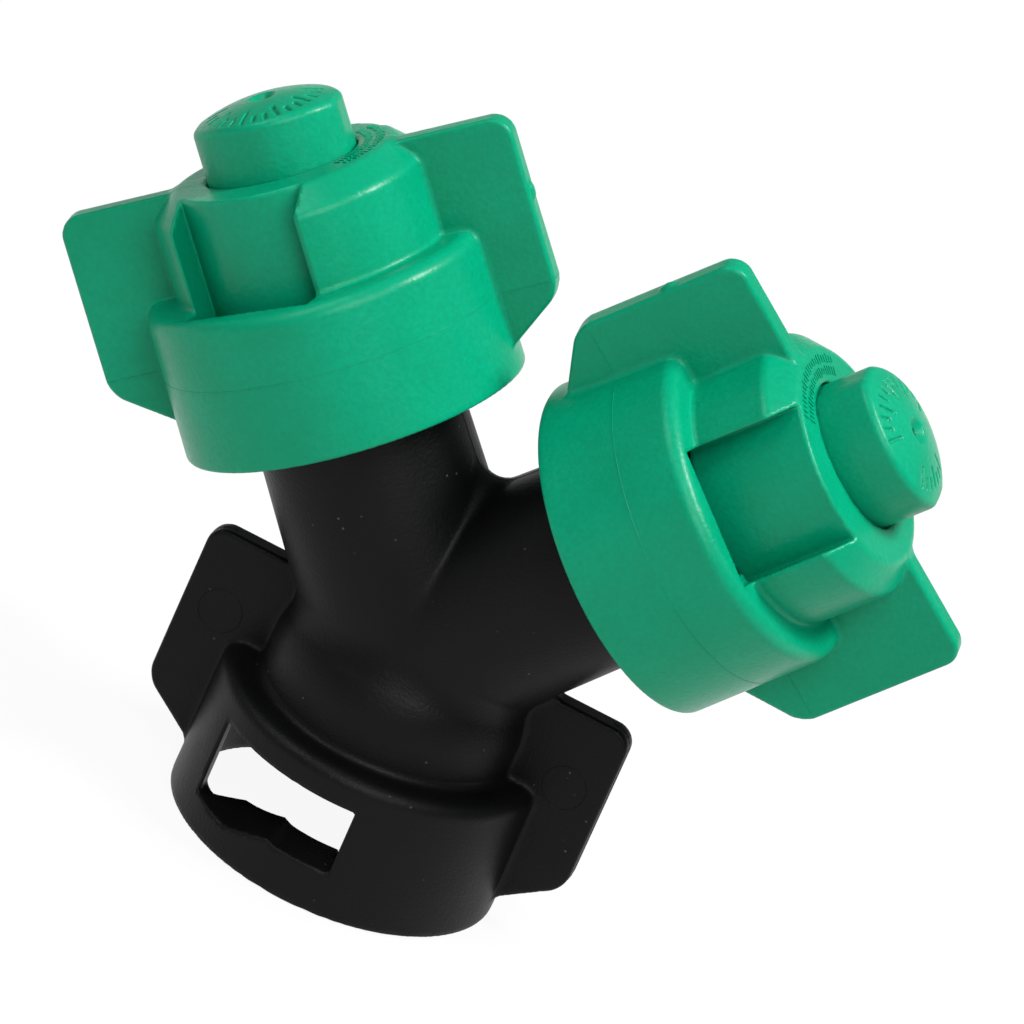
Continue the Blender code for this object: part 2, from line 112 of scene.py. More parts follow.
def meet(a, b, radius=0.0):
    """What two solids share, with the edge between them rounded."""
    if radius == 0:
        return np.maximum(a, b)
    corner = np.hypot(np.maximum(a + radius, 0), np.maximum(b + radius, 0))
    return np.minimum(-radius, np.maximum(a, b)) + corner


def carve(a, b, radius=0.0):
    """The first solid with the second taken away, and the edge of the cut rounded."""
    return meet(a, -b, radius)


def front_half(x, y):
    """Folds the rear half onto the front, for what repeats after half a turn."""
    return np.where(y > 0, -x, x), -np.abs(y)


# %% Drawing a net over a field
def slope(field, points, reach=0.02):
    """The direction in which a field grows: the surface's outward normal."""
    made = np.empty_like(points)
    for k in range(3):
        shift = np.zeros(3)
        shift[k] = reach
        made[:, k] = (field(*(points + shift).T) - field(*(points - shift).T)) / (2 * reach)
    return made


def crossings(field, low, counts, step):
    """Every grid edge that goes through the surface: its point, and the four cells round it in order."""
    lines = [low[k] + step * np.arange(counts[k]) for k in range(3)]
    values = np.empty(counts, np.float32)
    for k in range(0, counts[0], 12):
        block = np.meshgrid(*[line.astype(np.float32) for line in (lines[0][k:k + 12], lines[1], lines[2])],
                            indexing="ij")
        values[k:k + 12] = field(*block)
    cells = [count - 1 for count in counts]
    points, rings = [], []
    for axis in range(3):
        near = values[tuple(slice(0, -1) if k == axis else slice(None) for k in range(3))]
        far = values[tuple(slice(1, None) if k == axis else slice(None) for k in range(3))]
        crossed = (near < 0) != (far < 0)
        at = np.argwhere(crossed)
        a, b = near[crossed], far[crossed]
        point = at.astype(float)
        point[:, axis] += a / (a - b)
        u, v = (axis + 1) % 3, (axis + 2) % 3
        ring = []
        for du, dv in ((0, 0), (-1, 0), (-1, -1), (0, -1)):
            cell = at.copy()
            cell[:, u] += du
            cell[:, v] += dv
            ring.append(np.ravel_multi_index(cell.T, cells))
        ring = np.stack(ring, 1)
        ring[a > 0] = ring[a > 0][:, ::-1]
        points.append(low + point * step)
        rings.append(ring)
    return np.concatenate(points), np.concatenate(rings)


def net(field, low, high, step):
    """Points and four-sided faces over the surface of a field. Each point goes where the planes through its
    cell's crossings meet, so it falls on an edge wherever there is one."""
    low = np.array(low, float)
    counts = [int(math.ceil((b - a) / step)) + 1 for a, b in zip(low, high)]
    points, rings = crossings(field, low, counts, step)
    out = slope(field, points)
    out /= np.maximum(np.linalg.norm(out, axis=1), 1e-9)[:, None]
    used, place = np.unique(rings.T.ravel(), return_inverse=True)
    points, out = np.tile(points, (4, 1)), np.tile(out, (4, 1))
    share = np.bincount(place).astype(float)

    def gather(value):
        return np.bincount(place, value, len(used)) / share

    middle = np.stack([gather(points[:, k]) for k in range(3)], 1)
    offset = (out * (points - middle[place])).sum(1)
    pull = np.stack([gather(out[:, k] * offset) for k in range(3)], 1)
    planes = np.stack([np.stack([gather(out[:, j] * out[:, k]) for k in range(3)], 1) for j in range(3)], 1)
    move = np.linalg.solve(planes + 0.02 * np.eye(3), pull[:, :, None])[:, :, 0]
    return middle + np.clip(move, -step * 0.8, step * 0.8), np.searchsorted(used, rings)


def settle(field, points, step, rounds):
    """Moves the points of a net onto the surface exactly."""
    for _ in range(rounds):
        out = slope(field, points)
        size = np.maximum((out * out).sum(1), 0.3)
        move = np.clip(field(*points.T) / size, -step / 2, step / 2)
        points = points - move[:, None] * out
    return points


# %% Turning a net into a mesh in the frame
def moulding(field, low, high, step):
    """The finished net of one moulding, in its own millimetres: points, faces and normals."""
    points, faces = net(field, low, high, step)
    points = settle(field, points, step, 2)
    out = slope(field, points, 0.1)
    out /= np.maximum(np.linalg.norm(out, axis=1), 1e-9)[:, None]
    return points, faces, out


def place_moulding(name, shape, matrix, material, body, *nodes):
    """Puts a moulding's net into the frame as a piece that rides on a body and stands for its CAD nodes."""
    points, faces, out = shape
    turn = np.array(matrix.to_3x3())
    mesh = bpy.data.meshes.new(name)
    mesh.from_pydata(((points @ turn.T + np.array(matrix.translation)) / 1000).tolist(), [], faces.tolist())
    mesh.materials.append(material)
    mesh.shade_smooth()
    mesh.normals_split_custom_set_from_vertices((out @ turn.T).tolist())
    made = bpy.data.objects.new(name, mesh)
    bpy.context.scene.collection.objects.link(made)
    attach(made, body)
    if nodes:
        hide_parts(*nodes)
    print(name, "has", len(mesh.polygons), "faces")
    return made


def arm_frame(tag, turn=0.0):
    """From a cap's own frame (origin in its open rim, Z out along the arm) to the frame of the whole."""
    return (Matrix.Translation((0, 0, JUNCTION_H)) @ Matrix.Rotation(SIDE[tag] * ARM_LEAN, 4, "Y")
            @ Matrix.Translation((0, 0, ARM_LENGTH)) @ Matrix.Rotation(turn, 4, "Z"))


# %% [markdown]
# ## Finishes
#
# Every finish is a named plastic, rubber or metal. One function adds a node with its settings and links, and
# one turns an sRGB hex colour into the linear values that Blender works with. The grain of a spark-eroded
# mould is a few tenths of a millimetre across on the caps, and finer on the black body.

# %% Colour and node helpers
def linear(hex_colour):
    channels = [int(hex_colour[k:k + 2], 16) / 255 for k in (0, 2, 4)]
    return [c / 12.92 if c <= 0.04045 else ((c + 0.055) / 1.055) ** 2.4 for c in channels] + [1.0]


def add_node(tree, kind, inputs=None, **settings):
    """One node, with its settings, plain input values and links."""
    made = tree.nodes.new(kind)
    for name, value in settings.items():
        setattr(made, name, value)
    for name, value in (inputs or {}).items():
        if isinstance(value, bpy.types.NodeSocket):
            tree.links.new(value, made.inputs[name])
        else:
            made.inputs[name].default_value = value
    return made


def new_finish(name, **constants):
    """A material with its shader's plain values set, and the object's own coordinates ready."""
    made = bpy.data.materials.new(name)
    made.use_nodes = True
    shader = made.node_tree.nodes["Principled BSDF"]
    for socket, value in constants.items():
        shader.inputs[socket.replace("_", " ")].default_value = value
    place = add_node(made.node_tree, "ShaderNodeTexCoord").outputs["Object"]
    return made, made.node_tree, shader, place


def per_mm(millimetres):
    """A texture scale whose pattern repeats about every so many millimetres."""
    return 1000 / millimetres


# %% Green moulded acetal
def make_green_acetal():
    made, tree, shader, place = new_finish("green_moulded_acetal", IOR=1.48, Subsurface_Weight=0.2,
                                           Subsurface_Scale=0.0008)
    shader.inputs["Subsurface Radius"].default_value = (0.1, 1.0, 0.7)
    shader.inputs["Specular IOR Level"].default_value = 0.16
    cloud = add_node(tree, "ShaderNodeTexNoise", {"Vector": place, "Scale": per_mm(9), "Detail": 3.0})
    speck = add_node(tree, "ShaderNodeTexNoise", {"Vector": place, "Scale": per_mm(0.5), "Detail": 2.0})
    blend = add_node(tree, "ShaderNodeMath", {0: cloud.outputs["Fac"], 1: speck.outputs["Fac"]},
                     operation="MULTIPLY")
    tint = add_node(tree, "ShaderNodeMapRange", {"Value": blend.outputs[0], "From Min": 0.12,
                                                 "From Max": 0.42})
    colour = add_node(tree, "ShaderNodeMix", {"Factor": tint.outputs["Result"]}, data_type="RGBA")
    colour.inputs["A"].default_value = linear(GREEN_DEEP)
    colour.inputs["B"].default_value = linear(GREEN_LIGHT)
    tree.links.new(colour.outputs["Result"], shader.inputs["Base Color"])
    grain = add_node(tree, "ShaderNodeTexNoise", {"Vector": place, "Scale": per_mm(GREEN_GRAIN),
                                                  "Detail": 1.5, "Roughness": 0.45})
    rough = add_node(tree, "ShaderNodeMapRange", {"Value": grain.outputs["Fac"], "From Min": 0.3,
                                                  "From Max": 0.7, "To Min": 0.28, "To Max": 0.36})
    tree.links.new(rough.outputs["Result"], shader.inputs["Roughness"])
    bump = add_node(tree, "ShaderNodeBump", {"Height": grain.outputs["Fac"], "Strength": 0.5,
                                             "Distance": GRAIN_DEPTH})
    tree.links.new(bump.outputs["Normal"], shader.inputs["Normal"])
    return made


GREEN_DEEP, GREEN_LIGHT = "00805c", "008a66"
BLACK_BASE, BLACK_DUST = "09090a", "6e6a62"
GREEN_GRAIN, BLACK_GRAIN = 0.42, 0.3         # width of a grain, mm
GRAIN_DEPTH = 0.00006                        # metres
green_acetal = make_green_acetal()
print("finish:", green_acetal.name)

# %% Black glass-filled nylon
def make_black_nylon():
    made, tree, shader, place = new_finish("black_moulded_nylon", IOR=1.5)
    shader.inputs["Specular IOR Level"].default_value = 0.13
    cloud = add_node(tree, "ShaderNodeTexNoise", {"Vector": place, "Scale": per_mm(6), "Detail": 4.0})
    dust = add_node(tree, "ShaderNodeTexVoronoi", {"Vector": place, "Scale": per_mm(1.6)})
    speck = add_node(tree, "ShaderNodeMapRange", {"Value": dust.outputs["Distance"], "From Min": 0.05,
                                                  "From Max": 0.09, "To Min": 1.0, "To Max": 0.0})
    few = add_node(tree, "ShaderNodeMapRange", {"Value": cloud.outputs["Fac"], "From Min": 0.52,
                                                "From Max": 0.6})
    seen = add_node(tree, "ShaderNodeMath", {0: speck.outputs["Result"], 1: few.outputs["Result"]},
                    operation="MULTIPLY")
    soft = add_node(tree, "ShaderNodeMath", {0: seen.outputs[0], 1: 0.35}, operation="MULTIPLY")
    colour = add_node(tree, "ShaderNodeMix", {"Factor": soft.outputs[0]}, data_type="RGBA")
    colour.inputs["A"].default_value = linear(BLACK_BASE)
    colour.inputs["B"].default_value = linear(BLACK_DUST)
    tree.links.new(colour.outputs["Result"], shader.inputs["Base Color"])
    grain = add_node(tree, "ShaderNodeTexNoise", {"Vector": place, "Scale": per_mm(BLACK_GRAIN),
                                                  "Detail": 2.0})
    rough = add_node(tree, "ShaderNodeMapRange", {"Value": cloud.outputs["Fac"], "From Min": 0.3,
                                                  "From Max": 0.7, "To Min": 0.4, "To Max": 0.5})
    tree.links.new(rough.outputs["Result"], shader.inputs["Roughness"])
    bump = add_node(tree, "ShaderNodeBump", {"Height": grain.outputs["Fac"], "Strength": 0.7,
                                             "Distance": GRAIN_DEPTH})
    tree.links.new(bump.outputs["Normal"], shader.inputs["Normal"])
    return made


black_nylon = make_black_nylon()
print("finish:", black_nylon.name)

# %% Rubber, ivory acetal and stainless wire
def make_rubber():
    made, tree, shader, place = new_finish("black_epdm_rubber", IOR=1.5, Roughness=0.75)
    bloom = add_node(tree, "ShaderNodeTexNoise", {"Vector": place, "Scale": per_mm(3.0), "Detail": 3.0})
    colour = add_node(tree, "ShaderNodeMix", {"Factor": bloom.outputs["Fac"]}, data_type="RGBA")
    colour.inputs["A"].default_value = linear("161616")
    colour.inputs["B"].default_value = linear("232322")
    tree.links.new(colour.outputs["Result"], shader.inputs["Base Color"])
    return made


def make_ivory_acetal():
    made, tree, shader, place = new_finish("ivory_moulded_acetal", IOR=1.48, Subsurface_Weight=0.2,
                                           Subsurface_Scale=0.001)
    cloud = add_node(tree, "ShaderNodeTexNoise", {"Vector": place, "Scale": per_mm(5.0), "Detail": 2.0})
    colour = add_node(tree, "ShaderNodeMix", {"Factor": cloud.outputs["Fac"]}, data_type="RGBA")
    colour.inputs["A"].default_value = linear("ddd6c2")
    colour.inputs["B"].default_value = linear("ebe6d8")
    tree.links.new(colour.outputs["Result"], shader.inputs["Base Color"])
    shader.inputs["Roughness"].default_value = 0.42
    return made


def make_steel_wire():
    made, tree, shader, place = new_finish("stainless_wire", Metallic=1.0)
    shader.inputs["Base Color"].default_value = linear("b9bcbe")
    wear = add_node(tree, "ShaderNodeTexNoise", {"Vector": place, "Scale": per_mm(1.5), "Detail": 2.0})
    rough = add_node(tree, "ShaderNodeMapRange", {"Value": wear.outputs["Fac"], "To Min": 0.2, "To Max": 0.4})
    tree.links.new(rough.outputs["Result"], shader.inputs["Roughness"])
    return made


rubber, ivory_acetal, steel_wire = make_rubber(), make_ivory_acetal(), make_steel_wire()
KEPT = {"inlet_seal": rubber, "left_seal": rubber, "right_seal": rubber,
        "left_swirl_core": ivory_acetal, "right_swirl_core": ivory_acetal,
        "left_strainer_frame": ivory_acetal, "right_strainer_frame": ivory_acetal}
for node, finish in KEPT.items():
    for slot in frame["nodes"][node].material_slots:
        slot.material = finish
    print(node, "keeps its CAD shape in", finish.name)

# %% [markdown]
# ## The bayonet socket
#
# The socket is a short skirt with a flange across it. Two ledges inside carry the lugs of whatever is pushed
# in and turned. It is the same in the body and in the caps, so it is written once.

# %% Skirt, wings and the inside of a socket
def skirt(x, y, z):
    wall = np.hypot(x, y) - (SKIRT_R - (SKIRT_R - SKIRT_TOP_R) * z / SKIRT_H)
    return meet(wall, z - SKIRT_H, SKIRT_EDGE)


def wings(x, y, z, top):
    """Two flat wings. They are thickest at the mould's parting line and taper both ways from it."""
    out = np.abs(x)
    run, rise = WING_SPAN - SKIRT_R - 0.1, WING_KNEE - WING_FOOT
    length = math.hypot(run, rise)
    lower = ((out - SKIRT_R + 0.2) * rise - (z - WING_FOOT) * run) / length
    outline = meet(meet(out - WING_SPAN, z - top, WING_CORNER), lower, WING_KNEE_ROUND)
    half = WING_T / 2 - 0.012 * np.maximum(z - PARTING_H, 0) - 0.06 * np.maximum(PARTING_H - z, 0)
    return meet(outline, np.abs(y) - half, WING_EDGE)


def cam_height(angle):
    """Top of a ledge: a low lead-in, a ramp to a crest, and a lower rest behind it."""
    return np.interp(angle, np.radians([-30.0, -12.6, -9.0]), [LEDGE_LEAD, LEDGE_TOP, LEDGE_LOCK])


def ledges(x, y, z, top=None):
    fx, fy = front_half(x, y)
    rho, angle = np.hypot(fx, fy), np.arctan2(fx, -fy)
    height = cam_height(angle) if top is None else top
    sides = np.maximum(LEDGE_START - angle, angle - LEDGE_END) * rho
    ledge = meet(sides, np.maximum(LEDGE_FOOT - z, z - height), 0.2)
    ledge = meet(ledge, LEDGE_R - rho, 0.2)
    end = np.maximum(LEDGE_END - 0.01 - angle, angle - LEDGE_END - STOP_ARC) * rho
    end = meet(meet(end, LEDGE_FOOT + 0.4 - z, 0.2), LEDGE_R + 0.4 - rho, 0.2)
    return np.minimum(ledge, end)


def open_socket(solid, x, y, z, top=None):
    """Hollows a solid out to a socket, and puts the ledges back in."""
    rho = np.hypot(x, y)
    hollow = meet(rho - SOCKET_R, z - SOCKET_DEPTH, 0.4)
    inside = np.maximum(rho - SOCKET_R - 0.8, z - SOCKET_DEPTH - 0.8)
    solid = carve(meet(solid, -z, LIP), hollow, LIP)
    return join(solid, np.maximum(ledges(x, y, z, top), inside), 0.2)


# %% [markdown]
# ## The caps
#
# A cap is a skirt with a narrower drum on it. The drum has a chamfered shoulder, and two pockets with curved
# backs save plastic and give the fingers a grip. Both caps come out of one mould, so one net serves for both.

# %% The field of a cap
def nose_side(x, y, grow=0.0):
    """The outline of a spray tip's nose: two shallow arcs, cut off flat at both ends."""
    sag = NOSE_HALF_D - NOSE_END
    bow = (NOSE_HALF_W ** 2 + sag ** 2) / (2 * sag)
    arcs = np.hypot(x, np.abs(y) + bow - NOSE_HALF_D) - bow
    return meet(arcs, np.abs(x) - NOSE_HALF_W, 0.3) - grow


def drum(rho, z):
    shoulder = ((rho - DRUM_R) * (CAP_TOP_H - CAP_DRUM_H) + (z - CAP_DRUM_H) * (DRUM_R - CAP_TOP_R)) \
        / math.hypot(CAP_TOP_H - CAP_DRUM_H, DRUM_R - CAP_TOP_R)
    return meet(meet(rho - DRUM_R, shoulder, 0.35), z - CAP_TOP_H, 0.3)


def cap_field(x, y, z):
    rho = np.hypot(x, y)
    solid = join(skirt(x, y, z), drum(rho, z), 0.35)
    solid = join(solid, wings(x, y, z, CAP_WING_TOP), 0.4)
    scar = 0.3 * (np.sqrt(((x - WING_SPAN) / 0.3) ** 2 + (y / 0.6) ** 2 + ((z - GATE_H) / 0.9) ** 2) - 1)
    solid = join(solid, scar, 0.1)
    fx, fy = front_half(x * math.cos(POCKET_TURN) + y * math.sin(POCKET_TURN),
                        y * math.cos(POCKET_TURN) - x * math.sin(POCKET_TURN))
    pocket = meet(meet(np.abs(fx) - POCKET_HALF, POCKET_BACK_R - rho, 0.35), SOCKET_DEPTH - 1 - z)
    pocket = np.maximum(pocket, -DRUM_R - 0.15 - fy)
    solid = carve(solid, pocket, 0.25)
    seat_top = SPIGOT_H + SEAL_T + 3 * GAP
    inside = np.maximum(rho - TIP_FLANGE_R - GAP, z - CAP_TOP_H + CAP_WALL_TOP)
    solid = carve(solid, np.minimum(inside, np.maximum(rho - SEAT_R, z - seat_top)))
    solid = carve(solid, np.maximum(nose_side(x, y, GAP), CAP_TOP_H - 4 - z), 0.15)
    return open_socket(solid, x, y, z)


cap_shape = moulding(cap_field, (-22.8, -17.1, -0.8), (22.8, 17.1, 25.1), CAP_NET)
for tag in ("left", "right"):
    place_moulding(tag + "_bayonet_cap", cap_shape, arm_frame(tag, CAP_TURN[tag]), green_acetal,
                   body_of_node[tag + "_cap"], tag + "_cap")

# %% [markdown]
# ## The spray tips
#
# A tip is a flanged plug that is dropped into the cap from below. Its nose is narrower front to back, so a
# finger can line it up, and its face is a shallow dome with the orifice in a countersink. Short radial
# strokes are pressed into the face as an index.

# %% The field of a tip
def strokes(x, y, groups):
    """Radial strokes on the face: each group is (first angle, last angle, count), in degrees from +X."""
    rho, angle = np.hypot(x, y), np.arctan2(y, x)
    made = np.full_like(rho, 9.0)
    for first, last, count in groups:
        span = math.radians(last - first) / (count - 1)
        turn = np.mod(angle - math.radians(first) + span, math.tau)
        index = np.clip(np.round(turn / span), 1, count)
        across = np.abs(turn - index * span) * rho - 0.17
        inner = np.where(np.mod(index, 3) == 1, 3.5, 4.4)
        made = np.minimum(made, np.maximum(across, np.maximum(inner - rho, rho - 5.5)))
    return made


def tip_field(groups):
    def field(x, y, z):
        rho = np.hypot(x, y)
        foot = SPIGOT_H + SEAL_T + 3 * GAP
        bow = (NOSE_HALF_W ** 2 + DOME ** 2) / (2 * DOME)
        apex = FACE_H + DOME
        dome = np.hypot(rho, z - apex + bow) - bow
        nose = meet(nose_side(x, y), dome, 0.5)
        dent = np.maximum(strokes(x, y, groups), -0.22 - dome)
        nose = carve(nose, dent, 0.08)
        flange = meet(rho - TIP_FLANGE_R, z - foot - TIP_FLANGE_T, 0.25)
        barrel = np.maximum(rho - TIP_BODY_R, z - CAP_TOP_H + CAP_WALL_TOP + GAP)
        solid = meet(join(join(flange, barrel, 0.2), nose, 0.1), foot - z, 0.25)
        chamber = np.maximum(rho - TIP_BORE_R, z - FACE_H + 4.6)
        cone = (rho - ORIFICE_R + 0.2 - np.maximum(z - apex + 0.65, 0)) * 0.7071
        hole = np.minimum(rho - ORIFICE_R + 0.3, np.maximum(cone, apex - 0.65 - z))
        solid = carve(solid, chamber, 0.2)
        return carve(solid, hole, 0.1)
    return field


TIP_STROKES = {"left": [(-178, 12, 16)], "right": [(-262, -110, 13), (-45, 22, 7)]}
TIP_TURN = {"left": CAP_TURN["left"], "right": CAP_TURN["right"] - math.pi}
for tag in ("left", "right"):
    tip_shape = moulding(tip_field(TIP_STROKES[tag]), (-7.9, -7.9, 15.8), (7.9, 7.9, 31.2), TIP_NET)
    place_moulding(tag + "_hollow_cone_tip", tip_shape, arm_frame(tag, TIP_TURN[tag]), green_acetal,
                   body_of_node[tag + "_spray_tip"], tag + "_spray_tip")

# %% [markdown]
# ## The Y body
#
# The body is one black moulding. Its drum ends in a rounded shoulder, and the two arms grow out of that. The
# crotch between the arms is well rounded on top, and the rounding runs out into a crisp valley at the front.
# A window goes right through the skirt on each side, and its lower edge is the cam that the lugs ride on.

# %% The field of the body
def arm(x, y, z, side):
    """One arm with its spigot, its lugs and its bore, as (solid, bore)."""
    c, s = math.cos(ARM_LEAN), math.sin(ARM_LEAN) * side
    across, height = x * c - (z - JUNCTION_H) * s, x * s + (z - JUNCTION_H) * c - ARM_LENGTH
    rho = np.hypot(across, y)
    taper = (ARM_ROOT_R - ARM_END_R) / (ARM_LENGTH - 1)
    stem = np.maximum(rho - ARM_END_R + taper * np.minimum(height + 1, 0), height - LUG_FOOT - LUG_H + 0.7)
    stem = np.maximum(stem, -ARM_LENGTH - height)
    spigot = meet(rho - SPIGOT_R, height - SPIGOT_H, 0.4)
    spigot = np.maximum(spigot, -height)
    fx, fy = front_half(across, y)
    angle = np.arctan2(fx, -fy) - math.radians(-12.4)
    lug = meet((np.abs(angle) - math.radians(24)) * rho, rho - LUG_R, 0.3)
    lug = meet(lug, np.abs(height - LUG_FOOT - LUG_H / 2) - LUG_H / 2, 0.3)
    solid = join(join(stem, spigot), np.maximum(lug, SPIGOT_R - rho), 0.2)
    narrow = rho - np.interp(height, [-13.0, -11.0], [BORE_R, 6.5])
    bore = np.minimum(narrow, np.maximum(rho - COLLAR_R - GAP, SPIGOT_H - COLLAR_T - GAP - height))
    return solid, np.maximum(bore, -ARM_LENGTH - height)


def shoulder(rho, z):
    """A drum that closes in a half-ellipse."""
    rise = np.maximum(z - SHOULDER_H, 0)
    near = np.hypot(rho / BODY_DRUM_R, rise / (SHOULDER_TOP - SHOULDER_H))
    steep = np.maximum(np.hypot(rho / BODY_DRUM_R ** 2, rise / (SHOULDER_TOP - SHOULDER_H) ** 2), 1e-4)
    return near * (near - 1) / steep


def window(x, y, z):
    fx, fy = front_half(x, y)
    cam = np.interp(fx, [WINDOW_LEFT, -8.0, -3.5, -2.6, WINDOW_RIGHT],
                    [LEDGE_LEAD + 0.4, LEDGE_LEAD, LEDGE_TOP, LEDGE_LOCK, LEDGE_LOCK])
    opening = meet(np.maximum(WINDOW_LEFT - fx, fx - WINDOW_RIGHT), np.maximum(cam - z, z - WINDOW_TOP), 0.3)
    return np.maximum(opening, fy + LEDGE_R * 0.55)


def body_field(x, y, z):
    rho = np.hypot(x, y)
    left, left_bore = arm(x, y, z, -1)
    right, right_bore = arm(x, y, z, 1)
    crotch = 0.4 + 2.9 * np.exp(-(y / 3.2) ** 2)
    arms = join(left, right, crotch)
    solid = join(shoulder(rho, z), arms, 1.3)
    solid = join(solid, skirt(x, y, z), 0.8)
    solid = join(solid, wings(x, y, z, BODY_WING_TOP), 0.6)
    solid = carve(solid, np.minimum(left_bore, right_bore))
    inlet = np.maximum(rho - SEAT_R, z - INLET_SEAT_H)
    solid = carve(solid, np.minimum(np.maximum(rho - BORE_R, z - JUNCTION_H), inlet), 0.2)
    solid = open_socket(solid, x, y, z, LEDGE_TOP + 0.4)
    return carve(solid, window(x, y, z), 0.25)


body_shape = moulding(body_field, (-31.0, -17.0, -0.8), (31.0, 17.0, 57.0), BODY_NET)
place_moulding("y_body_moulding", body_shape, Matrix(), black_nylon, body_of_node["y_body"], "y_body")

# %% [markdown]
# ## Parting lines and pin marks
#
# Where two halves of a mould meet, the plastic creeps a few hundredths of a millimetre into the joint and
# leaves a fine raised line. Ejector pins leave fine rings. A Geometry Nodes tree runs a thin thread along any
# path of points, so each line needs only its path. The paths are found on the fields themselves, so they
# lie on the plastic to the last hundredth.

# %% Growing a plain mesh from a Geometry Nodes tree
def new_tree(name, inputs):
    """An empty tree with a geometry input, named inputs and a geometry output."""
    tree = bpy.data.node_groups.new(name, "GeometryNodeTree")
    tree.interface.new_socket("Path", in_out="INPUT", socket_type="NodeSocketGeometry")
    for label, kind in inputs:
        tree.interface.new_socket(label, in_out="INPUT", socket_type="NodeSocket" + kind)
    tree.interface.new_socket("Geometry", in_out="OUTPUT", socket_type="NodeSocketGeometry")
    return tree, tree.nodes.new("NodeGroupInput")


def close_tree(tree, source, result):
    """Ends a tree in Realize Instances and Set Material."""
    real = add_node(tree, "GeometryNodeRealizeInstances", {"Geometry": result})
    painted = add_node(tree, "GeometryNodeSetMaterial", {"Geometry": real.outputs[0],
                                                         "Material": source.outputs["Material"]})
    add_node(tree, "NodeGroupOutput", {"Geometry": painted.outputs[0]})


def grow(name, tree, path, values, matrix, body, *nodes):
    """Runs a tree over a path mesh in millimetres and keeps the result as one plain piece in the frame."""
    seed = bpy.data.objects.new(name + "_path", path)
    bpy.context.scene.collection.objects.link(seed)
    step = seed.modifiers.new("tree", "NODES")
    step.node_group = tree
    for item in tree.interface.items_tree:
        if item.in_out == "INPUT" and item.name in values:
            step[item.identifier] = values[item.name]
    mesh = bpy.data.meshes.new_from_object(seed.evaluated_get(bpy.context.evaluated_depsgraph_get()))
    bpy.data.objects.remove(seed)
    mesh.name = name
    mesh.transform(matrix)
    mesh.transform(Matrix.Scale(0.001, 4))
    made = bpy.data.objects.new(name, mesh)
    bpy.context.scene.collection.objects.link(made)
    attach(made, body)
    if nodes:
        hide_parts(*nodes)
    print(name, "has", len(mesh.polygons), "faces")
    return made


def path_mesh(*runs):
    """A mesh of loose edges through runs of points, each (points, closed)."""
    points, edges = [], []
    for run, closed in runs:
        first = len(points)
        points += [tuple(p) for p in run]
        edges += [(k, k + 1) for k in range(first, len(points) - 1)]
        if closed:
            edges.append((len(points) - 1, first))
    mesh = bpy.data.meshes.new("path")
    mesh.from_pydata(points, edges, [])
    return mesh


def thread_tree():
    """A thin round thread along each path."""
    tree, source = new_tree("mould_line_thread", [("Thread radius", "Float"), ("Sides", "Int"),
                                                  ("Material", "Material")])
    curve = add_node(tree, "GeometryNodeMeshToCurve", {"Mesh": source.outputs["Path"]})
    ring = add_node(tree, "GeometryNodeCurvePrimitiveCircle", {"Resolution": source.outputs["Sides"],
                                                               "Radius": source.outputs["Thread radius"]})
    tube = add_node(tree, "GeometryNodeCurveToMesh", {"Curve": curve.outputs[0], "Fill Caps": True,
                                                      "Profile Curve": ring.outputs[0]})
    smooth = add_node(tree, "GeometryNodeSetShadeSmooth", {"Geometry": tube.outputs[0], "Shade Smooth": True})
    close_tree(tree, source, smooth.outputs[0])
    return tree


thread = thread_tree()

# %% Finding a path on a field
def on_surface(field, start, ahead, reach):
    """Where rays that start inside the plastic come out of it."""
    start = np.broadcast_to(np.array(start, float), ahead.shape)
    near, far = np.zeros(len(ahead)), np.full(len(ahead), float(reach))
    for _ in range(24):
        middle = (near + far) / 2
        inside = field(*(start + ahead * middle[:, None]).T) < 0
        near, far = np.where(inside, middle, near), np.where(inside, far, middle)
    return start + ahead * near[:, None]


def fan(low, high, count, flat="XY"):
    """Directions in a plane, from one angle to another in degrees."""
    angle = np.radians(np.linspace(low, high, count))
    across, up, zero = np.cos(angle), np.sin(angle), np.zeros(count)
    return np.stack([across, up, zero] if flat == "XY" else [across, zero, up], 1)


# %% The caps' parting lines
def skirt_run(low, high, count):
    ahead = fan(low, high, count)
    return on_surface(cap_field, ahead * 15.2 + np.array([0, 0, PARTING_H]), ahead, 3.0)


def wing_run(side):
    """Round one wing, from one face to the other."""
    out = np.linspace(17.0, WING_SPAN - 0.9, 12)
    face = np.stack([side * out, np.zeros(12), np.full(12, PARTING_H)], 1)
    end = on_surface(cap_field, (side * (WING_SPAN - 1.0), 0, PARTING_H), fan(-70, 70, 9) * [side, 1, 1], 3.0)
    first = on_surface(cap_field, face, np.tile([0.0, -1.0, 0.0], (12, 1)), 3.0)
    last = on_surface(cap_field, face[::-1], np.tile([0.0, 1.0, 0.0], (12, 1)), 3.0)
    return np.concatenate([first, end, last])


cap_lines = [(skirt_run(7, 173, 90), False), (skirt_run(187, 353, 90), False), (wing_run(1), False),
             (wing_run(-1), False)]
for tag in ("left", "right"):
    grow(tag + "_cap_parting_line", thread, path_mesh(*cap_lines),
         {"Thread radius": 0.035, "Sides": 6, "Material": green_acetal}, arm_frame(tag, CAP_TURN[tag]),
         body_of_node[tag + "_cap"])

# %% The body's parting line and pin marks
def pin_ring(x, z, radius, front):
    angle = np.linspace(0, math.tau, 40, endpoint=False)
    start = np.stack([x + radius * np.cos(angle), np.zeros(40), z + radius * np.sin(angle)], 1)
    return on_surface(body_field, start, np.tile([0.0, -1.0 if front else 1.0, 0.0], (40, 1)), 3.0)


